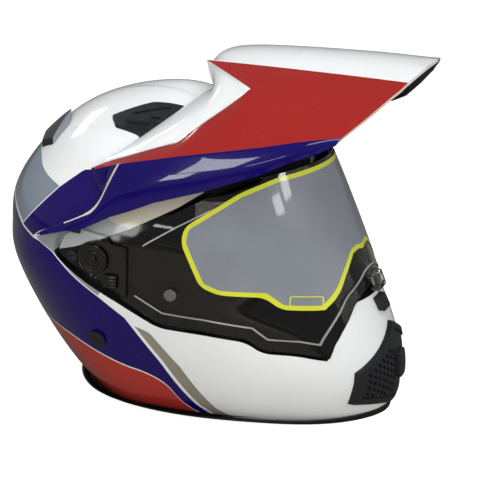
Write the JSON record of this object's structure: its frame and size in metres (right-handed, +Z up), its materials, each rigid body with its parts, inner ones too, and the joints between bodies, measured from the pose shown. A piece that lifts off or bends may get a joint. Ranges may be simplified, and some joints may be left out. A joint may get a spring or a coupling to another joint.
{
  "type": "dual sport helmet",
  "caption": "Full-face motorcycle helmet with a long peak, a hinged visor, sliding vents and a fastened chin strap.",
  "frame": {"origin": "middle of the neck opening on the base plane, below the middle of the head", "axes": "+Z up out of the base plane, -Y the way the face looks, +X the wearer's left"},
  "size_m": [0.2574, 0.3465, 0.2885],
  "materials": {
    "shell_paint": "gloss lacquer, white with blue and red panels",
    "peak_paint": "gloss lacquer, red with a white band and blue flange",
    "rubber": "matt",
    "foam": "moulded bead foam",
    "lining_fabric": "brushed fabric",
    "black_plastic": "fine matt grain",
    "gloss_black": "gloss",
    "smoke_visor": "clear gloss, light smoke tint",
    "visor_film": "printed film, grey with a yellow edge",
    "bright_pin": "bright",
    "webbing": "woven",
    "ring_steel": "brushed"
  },
  "bodies": {
    "shell": {"base_trim": "rubber", "cheek_pad_left": "lining_fabric", "cheek_pad_right": "lining_fabric", "chin_liner": "foam", "chin_strap_left": "webbing", "chin_strap_right": "webbing", "chin_vent_frame": "black_plastic", "chin_vent_screen": "black_plastic", "crown_pad": "lining_fabric", "eye_port_seal": "rubber", "impact_liner": "foam", "neck_roll": "lining_fabric", "outer_shell": "shell_paint", "peak": "peak_paint", "peak_boss_left": "black_plastic", "peak_boss_right": "black_plastic", "pivot_cap_left": "gloss_black", "pivot_cap_right": "gloss_black", "pivot_plate_left": "gloss_black", "pivot_plate_right": "gloss_black", "rear_vent_left": "black_plastic", "rear_vent_right": "black_plastic", "side_screw_left": "black_plastic", "side_screw_right": "black_plastic", "strap_plug_left": "black_plastic", "strap_plug_right": "black_plastic", "top_vent_left": "black_plastic", "top_vent_right": "black_plastic", "visor_catch": "black_plastic"},
    "visor": {"visor": "smoke_visor", "visor_film": "visor_film", "fog_pin_left": "bright_pin", "fog_pin_right": "bright_pin"},
    "chin_slider": {"chin_vent_slider": "black_plastic"},
    "top_slider_left": {"top_vent_slider_left": "black_plastic"},
    "top_slider_right": {"top_vent_slider_right": "black_plastic"},
    "release_left": {"release_lever_left": "gloss_black"},
    "release_right": {"release_lever_right": "gloss_black"},
    "ring_lower": {"d_ring_lower": "ring_steel"},
    "ring_upper": {"d_ring_upper": "ring_steel"}
  },
  "joints": [
    {"name": "visor_tilt", "type": "hinge", "parent": "shell", "child": "visor", "pos_m": [0, 0.012, 0.134], "axis": [-1, 0, 0], "range_deg": [0, 30]},
    {"name": "chin_vent_slide", "type": "slide", "parent": "shell", "child": "chin_slider", "axis": [0, 0, 1], "range_m": [0, 0.009]},
    {"name": "top_vent_slide_left", "type": "slide", "parent": "shell", "child": "top_slider_left", "axis": [0, 1, 0], "range_m": [0, 0.007]},
    {"name": "top_vent_slide_right", "type": "slide", "parent": "shell", "child": "top_slider_right", "axis": [0, 1, 0], "range_m": [0, 0.007]},
    {"name": "release_pull_left", "type": "slide", "parent": "shell", "child": "release_left", "axis": [0, 0, -1], "range_m": [0, 0.0025], "stiffness_N_per_m": 400, "springref_m": -0.001},
    {"name": "release_pull_right", "type": "slide", "parent": "shell", "child": "release_right", "axis": [0, 0, -1], "range_m": [0, 0.0025], "stiffness_N_per_m": 400, "springref_m": -0.001},
    {"name": "lower_ring_swing", "type": "hinge", "parent": "shell", "child": "ring_lower", "pos_m": [0.0267, 0.012, 0.0269], "axis": [0, -1, 0], "range_deg": [0, 20]},
    {"name": "upper_ring_swing", "type": "hinge", "parent": "shell", "child": "ring_upper", "pos_m": [0.0267, 0.012, 0.0311], "axis": [0, 1, 0], "range_deg": [0, 35]}
  ]
}
